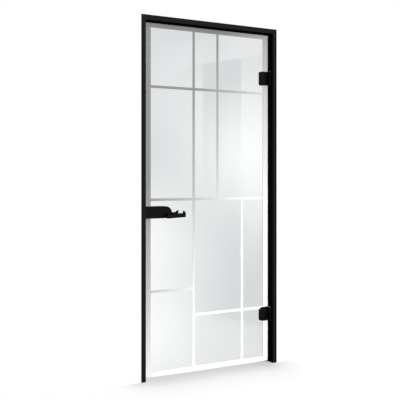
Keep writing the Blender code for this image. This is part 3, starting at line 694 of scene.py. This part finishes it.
glass_low, glass_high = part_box("glass_leaf")
print_left = glass_low.x + EDGE_MARGIN
print_right = glass_high.x - EDGE_MARGIN
print_bottom = glass_low.z + EDGE_MARGIN
print_top = glass_high.z - EDGE_MARGIN


def upright(x, low, high):
    return x - LINE / 2, x + LINE / 2, low, high


def bar(z, left, right):
    return left, right, z - LINE / 2, z + LINE / 2


strips = [
    (print_left, BORDER_LEFT_INNER, print_bottom, print_top),
    (BORDER_RIGHT_INNER, print_right, print_bottom, print_top),
    (print_left, print_right, BORDER_TOP_INNER, print_top),
    (print_left, print_right, print_bottom, BORDER_BOTTOM_INNER),
    upright(LEFT_UPRIGHT, BORDER_BOTTOM_INNER - LINE, BORDER_TOP_INNER + LINE),
    upright(MIDDLE_UPRIGHT, MIDDLE_BAR, BORDER_TOP_INNER + LINE),
    upright(RIGHT_UPRIGHT, BORDER_BOTTOM_INNER - LINE, MIDDLE_BAR),
    bar(UPPER_BAR, BORDER_LEFT_INNER - LINE, BORDER_RIGHT_INNER + LINE),
    bar(MIDDLE_BAR, BORDER_LEFT_INNER - LINE, BORDER_RIGHT_INNER + LINE),
    bar(LOWER_LEFT_BAR, BORDER_LEFT_INNER - LINE, LEFT_UPRIGHT),
    bar(LOWER_RIGHT_BAR, LEFT_UPRIGHT, BORDER_RIGHT_INNER + LINE),
]
print("matt strips:", len(strips))

# %% Points in, a plain mesh out
def points_with(name, rows):
    """A mesh of loose points with vector attributes; rows are (place, {attribute: vector})."""
    mesh = bpy.data.meshes.new(name)
    mesh.from_pydata([place for place, _ in rows], [], [])
    for attribute in rows[0][1]:
        stored = mesh.attributes.new(attribute, "FLOAT_VECTOR", "POINT")
        for index, (_, values) in enumerate(rows):
            stored.data[index].vector = values[attribute]
    return mesh


def grown(name, places, tree, body, slot_name, **values):
    """Run a tree on a mesh of places and keep what it makes as one plain mesh riding on a body."""
    made = in_scene(name, places)
    modifier = made.modifiers.new(name, "NODES")
    modifier.node_group = tree
    for item in tree.interface.items_tree:
        if item.in_out == "INPUT" and item.name.replace(" ", "_") in values:
            modifier[item.identifier] = values[item.name.replace(" ", "_")]
    graph = bpy.context.evaluated_depsgraph_get()
    mesh = bpy.data.meshes.new_from_object(made.evaluated_get(graph), depsgraph=graph)
    made.modifiers.clear()
    made.data = mesh
    mesh.name = name
    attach(made, body)
    return made


def closed_and_outward(made):
    """How many edges are open, and the volume in cubic centimetres, negative if inside out."""
    shape = bmesh.new()
    shape.from_mesh(made.data)
    open_edges = sum(not edge.is_manifold for edge in shape.edges)
    volume = shape.calc_volume(signed=True) * 1e6
    shape.free()
    return open_edges, round(volume, 3)


print("a tree's result becomes one plain mesh")

# %% What both modelling trees need
def attribute(tree, name):
    """A vector that every point carries under this name."""
    return add_node(tree, "GeometryNodeInputNamedAttribute", {"data_type": "FLOAT_VECTOR"},
                    Name=name).outputs["Attribute"]


def realized(tree, instances):
    return add_node(tree, "GeometryNodeRealizeInstances", Geometry=instances).outputs[0]


def end_tree(tree, start, end, geometry):
    """Make the geometry real, give it the tree's Material and put it out."""
    coat_all = add_node(tree, "GeometryNodeSetMaterial", Geometry=realized(tree, geometry),
                        Material=start.outputs["Material"])
    feed(tree, end.inputs[0], coat_all.outputs[0])


print("tree helpers ready")

# %% A tree that prints strips around round holes
DRILL_FACETS = 40
DRILL_LENGTH = 0.002

strip_tree, strip_in, strip_out = start_group(
    "matt_strips", "GeometryNodeTree",
    [("Geometry", "NodeSocketGeometry", None),
     ("Thickness", "NodeSocketFloat", PRINT_THICKNESS),
     ("Hole Radius", "NodeSocketFloat", 0.0078),
     ("Material", "NodeSocketMaterial", None)],
    [("Geometry", "NodeSocketGeometry", None)])

size_axes = axes(strip_tree, attribute(strip_tree, "size"))
flat_size = add_node(strip_tree, "ShaderNodeCombineXYZ", X=size_axes["X"],
                     Y=strip_in.outputs["Thickness"], Z=size_axes["Z"])
# A point without a size is a hole.
sort_points = add_node(
    strip_tree, "GeometryNodeSeparateGeometry", {"domain": "POINT"},
    Geometry=strip_in.outputs["Geometry"],
    Selection=sums(strip_tree, "GREATER_THAN", size_axes["X"], 0.0))

unit_cube = add_node(strip_tree, "GeometryNodeMeshCube")
strip_copies = add_node(
    strip_tree, "GeometryNodeInstanceOnPoints", Points=sort_points.outputs["Selection"],
    Instance=unit_cube.outputs["Mesh"], Scale=flat_size.outputs[0])
drill = add_node(strip_tree, "GeometryNodeMeshCylinder", Vertices=DRILL_FACETS,
                 Radius=strip_in.outputs["Hole Radius"], Depth=DRILL_LENGTH)
drill_copies = add_node(
    strip_tree, "GeometryNodeInstanceOnPoints", Points=sort_points.outputs["Inverted"],
    Instance=drill.outputs["Mesh"], Rotation=(math.radians(90), 0, 0))

one_skin = add_node(
    strip_tree, "GeometryNodeMeshBoolean", {"operation": "UNION", "solver": "EXACT"},
    Mesh_2=realized(strip_tree, strip_copies.outputs["Instances"]), Self_Intersection=True)
drilled_skin = add_node(
    strip_tree, "GeometryNodeMeshBoolean", {"operation": "DIFFERENCE", "solver": "EXACT"},
    Mesh_1=one_skin.outputs["Mesh"],
    Mesh_2=realized(strip_tree, drill_copies.outputs["Instances"]))
end_tree(strip_tree, strip_in, strip_out, drilled_skin.outputs["Mesh"])
print("tree", strip_tree.name, "with", len(strip_tree.nodes), "nodes")

# %% [markdown]
# The print itself is a satin white. It scatters whatever light falls on it, and in a studio that
# light fades across the sheet, so the white carries a painted shade: it is full at the lower right
# and a soft grey at the upper left. A fine etched grain keeps it from looking like flat paint.

# %% Satin white print
PAINTED_SHADE_DIRECTION = (320.0, 0, -178.0)  # to the right and down; its length sets the fade's unit
PAINTED_SHADE_START = -463.0
PAINTED_SHADE_END = -193.0
PAINTED_SHADE_FROM = (0.255, 0.250, 0.253, 1)
PAINTED_SHADE_BETWEEN = ((0.37, 0.435), (0.685, 0.72), (0.9, 0.90))  # how far along, and how white
PRINT_GRAIN = 0.0004
PRINT_GRAIN_DEPTH = 0.0001

matt_print, print_tree, print_shader = start_material("matt_print")
on_print = on_object(print_tree)
# The grey of this fade is painted shade, not the print's own colour, which is white all over.
slope = add_node(print_tree, "ShaderNodeVectorMath", {"operation": "DOT_PRODUCT"})
feed(print_tree, slope.inputs[0], on_print)
feed(print_tree, slope.inputs[1], PAINTED_SHADE_DIRECTION)
along = add_node(print_tree, "ShaderNodeMapRange", Value=slope.outputs["Value"],
                 From_Min=PAINTED_SHADE_START, From_Max=PAINTED_SHADE_END)
fade = add_node(print_tree, "ShaderNodeValToRGB", Fac=along.outputs["Result"])
stops = fade.color_ramp.elements
stops[0].position, stops[0].color = 0.0, PAINTED_SHADE_FROM
stops[1].position, stops[1].color = 1.0, grey(1)
for position, level in PAINTED_SHADE_BETWEEN:
    stops.new(position).color = grey(level)
print_coat = add_node(
    print_tree, "ShaderNodeGroup", {"node_tree": grain_group}, Vector=on_print,
    Colour=fade.outputs["Color"], Grain_Size=PRINT_GRAIN, Colour_Drift=0.04, Roughness=0.75,
    Roughness_Drift=0.1)
set_inputs(print_tree, print_shader, Base_Color=print_coat.outputs["Colour"],
           Specular_IOR_Level=0.15)
use_grain(print_tree, print_shader, print_coat, strength=0.2, depth=PRINT_GRAIN_DEPTH)
print("print:", matt_print.name)

# %% Print the pattern on the glass
HINGE_CENTRES = (0.2945, 1.7165)
HINGE_BOSS_X = -0.0705
HINGE_BOSS_RISE = 0.024
LOCK_SCREW_X = (-0.8315, -0.7735)
LOCK_SCREW_Z = 0.925

print_y = glass_low.y - PRINT_GAP - PRINT_THICKNESS / 2
strip_rows = [
    (((left + right) / 2, print_y, (low + high) / 2), {"size": (right - left, 1, high - low)})
    for left, right, low, high in strips]
hinge_bosses = [(HINGE_BOSS_X, centre + side * HINGE_BOSS_RISE)
                for centre in HINGE_CENTRES for side in (-1, 1)]
lock_boss = (LOCK_SCREW_X[0], LOCK_SCREW_Z)
strip_rows += [((x, print_y, z), {"size": (0, 0, 0)}) for x, z in hinge_bosses + [lock_boss]]

matt_pattern = grown("matt_pattern", points_with("strip_points", strip_rows), strip_tree, "leaf",
                     "clear_glass", Material=matt_print)
# Like the glass, the print gives the black returns no light.
matt_pattern.visible_diffuse = False
print("pattern faces:", len(matt_pattern.data.polygons),
      "open edges and volume:", closed_and_outward(matt_pattern))

# %% [markdown]
# ## Screws
#
# Every plate is held by countersunk screws with a hexagonal socket. They sit in the countersinks
# that the solids already have. One tree makes them all: it builds one screw from a cone, a shank
# and a hexagonal cutter, and then sets a copy on each point, turned to the point's own direction.
# Real screws stop at any angle, so each copy also gets its own turn, from a fixed seed.

# %% One countersunk screw
SCREW_FACETS = 36
SHANK_SHARE = 0.93  # the shank's radius as a share of the head's lower one
SHANK_DEPTH = 0.75  # how deep the middle of the shank lies, as a share of its length

screw_tree, screw_in, screw_out = start_group(
    "countersunk_screws", "GeometryNodeTree",
    [("Geometry", "NodeSocketGeometry", None),
     ("Head Radius", "NodeSocketFloat", 0.0059),
     ("Head Depth", "NodeSocketFloat", 0.0029),
     ("Shank Radius", "NodeSocketFloat", 0.0028),
     ("Length", "NodeSocketFloat", 0.0050),
     ("Socket Radius", "NodeSocketFloat", 0.0023),
     ("Socket Depth", "NodeSocketFloat", 0.0022),
     ("Seed", "NodeSocketInt", 4),
     ("Material", "NodeSocketMaterial", None)],
    [("Geometry", "NodeSocketGeometry", None)])
screw = screw_in.outputs


def shifted_down(geometry, distance, factor):
    """Move geometry along -Z by a distance times a factor."""
    down = add_node(screw_tree, "ShaderNodeCombineXYZ",
                    Z=sums(screw_tree, "MULTIPLY", distance, -factor))
    return add_node(screw_tree, "GeometryNodeTransform", Geometry=geometry,
                    Translation=down.outputs[0]).outputs["Geometry"]


head = add_node(
    screw_tree, "GeometryNodeMeshCone", Vertices=SCREW_FACETS, Radius_Top=screw["Head Radius"],
    Radius_Bottom=screw["Shank Radius"], Depth=screw["Head Depth"])
shank = add_node(
    screw_tree, "GeometryNodeMeshCylinder", Vertices=SCREW_FACETS,
    Radius=sums(screw_tree, "MULTIPLY", screw["Shank Radius"], SHANK_SHARE),
    Depth=screw["Length"])
whole_screw = add_node(
    screw_tree, "GeometryNodeMeshBoolean", {"operation": "UNION", "solver": "EXACT"},
    Mesh_2=shifted_down(head.outputs["Mesh"], screw["Head Depth"], 1.0))
feed(screw_tree, whole_screw.inputs["Mesh 2"],
     shifted_down(shank.outputs["Mesh"], screw["Length"], SHANK_DEPTH))
# Only the lower half of the hexagon lies in the head, so it is twice as long as the socket.
hexagon = add_node(
    screw_tree, "GeometryNodeMeshCylinder", Vertices=6, Radius=screw["Socket Radius"],
    Depth=sums(screw_tree, "MULTIPLY", screw["Socket Depth"], 2.0))
socketed = add_node(
    screw_tree, "GeometryNodeMeshBoolean", {"operation": "DIFFERENCE", "solver": "EXACT"},
    Mesh_1=whole_screw.outputs["Mesh"], Mesh_2=hexagon.outputs["Mesh"])
print("a screw takes", len(screw_tree.nodes), "nodes")

# %% A copy on every point, each turned its own way
stand = add_node(screw_tree, "FunctionNodeAlignRotationToVector", {"axis": "Z"},
                 Vector=attribute(screw_tree, "facing"))
any_angle = add_node(screw_tree, "FunctionNodeRandomValue", {"data_type": "FLOAT"},
                     Max=math.tau, Seed=screw["Seed"])
own_turn = add_node(screw_tree, "FunctionNodeAxisAngleToRotation", Axis=(0, 0, 1),
                    Angle=any_angle.outputs["Value"])
turned_stand = add_node(
    screw_tree, "FunctionNodeRotateRotation", {"rotation_space": "LOCAL"},
    Rotation=stand.outputs["Rotation"], Rotate_By=own_turn.outputs["Rotation"])
screw_copies = add_node(
    screw_tree, "GeometryNodeInstanceOnPoints", Points=screw["Geometry"],
    Instance=socketed.outputs["Mesh"], Rotation=turned_stand.outputs["Rotation"])
end_tree(screw_tree, screw_in, screw_out, screw_copies.outputs["Instances"])
print("tree", screw_tree.name, "with", len(screw_tree.nodes), "nodes")

# %% Set the screws, one mesh for each body
SCREW_SINK = 0.0002
SCREW_CORNER = math.radians(30)
JAMB_FACE = -0.028
BRACKET_SCREW_Y = -0.0191
BRACKET_SCREW_RISE = 0.028
STRIKE_FACE = -0.874
STRIKE_SCREW_Y = -0.00835
STRIKE_SCREW_RISE = 0.028
STRIKE_CENTRE = 0.937

plate_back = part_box("lower_hinge_plate_back")[1].y
cover_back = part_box("lock_case_back")[1].y
leaf_screws = [((x, plate_back - SCREW_SINK, z), {"facing": (0, 1, 0)}) for x, z in hinge_bosses]
leaf_screws += [((x, cover_back - SCREW_SINK, LOCK_SCREW_Z), {"facing": (0, 1, 0)})
                for x in LOCK_SCREW_X]
frame_screws = [((JAMB_FACE + SCREW_SINK, BRACKET_SCREW_Y, centre + side * BRACKET_SCREW_RISE),
                 {"facing": (-1, 0, 0)}) for centre in HINGE_CENTRES for side in (-1, 1)]
frame_screws += [((STRIKE_FACE - SCREW_SINK, STRIKE_SCREW_Y,
                   STRIKE_CENTRE + side * STRIKE_SCREW_RISE), {"facing": (1, 0, 0)})
                 for side in (-1, 1)]
for name, rows, body in (("screws_on_leaf", leaf_screws, "leaf"),
                         ("screws_on_frame", frame_screws, "frame")):
    screws = grown(name, points_with(name + "_points", rows), screw_tree, body, "steel",
                   Material=steel)
    screws.data.set_sharp_from_angle(angle=SCREW_CORNER)
    print(name, len(rows), "open edges and volume:", closed_and_outward(screws))

# %% [markdown]
# ## Smooth turned and rounded fittings
#
# The levers, lock and hinges come as flat triangles, so a rounded edge shows its facets. A copy
# of each one is merged and shaded smooth, with corners sharper than 40 degrees kept crisp. Normals
# are weighted by face size, so that the large flat faces stay truly flat beside their rounded
# edges.

# %% Smooth copies of the fittings
MERGE_DISTANCE = 0.00001
FLAT_WITHIN = math.radians(0.2)
CRISP_CORNER = math.radians(40)
SMOOTHED = {
    "black_fitting": ["lever_front", "lever_back", "lock_case_front", "lock_case_back",
                      "lower_hinge_plate_front", "upper_hinge_plate_front",
                      "lower_hinge_plate_back", "upper_hinge_plate_back",
                      "lower_hinge_bracket", "upper_hinge_bracket"],
    "steel": ["lower_hinge_pin", "upper_hinge_pin", "latch_bolt", "lever_spindle"],
    "grey_plastic": ["lever_bush_front", "lever_bush_back", "strike_cup"]}


def smoothed(node, finish):
    """Stand a smooth-shaded copy in for a solid, on the same body."""
    solid = frame["nodes"][node]
    shape = bmesh.new()
    shape.from_mesh(solid.data)
    bmesh.ops.remove_doubles(shape, verts=shape.verts, dist=MERGE_DISTANCE)
    bmesh.ops.dissolve_limit(shape, angle_limit=FLAT_WITHIN, verts=shape.verts, edges=shape.edges)
    mesh = bpy.data.meshes.new(node + "_smooth")
    shape.to_mesh(mesh)
    shape.free()
    mesh.materials.append(FINISHES[finish])
    mesh.polygons.foreach_set("use_smooth", [True] * len(mesh.polygons))
    mesh.set_sharp_from_angle(angle=CRISP_CORNER)
    made = in_scene(node + "_smooth", mesh)
    weighted = made.modifiers.new("weighted", "WEIGHTED_NORMAL")
    weighted.keep_sharp = True
    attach(made, body_of(solid)[0])
    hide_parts(node)
    return made


for finish, nodes in SMOOTHED.items():
    for node in nodes:
        piece = smoothed(node, finish)
        print(piece.name, closed_and_outward(piece))
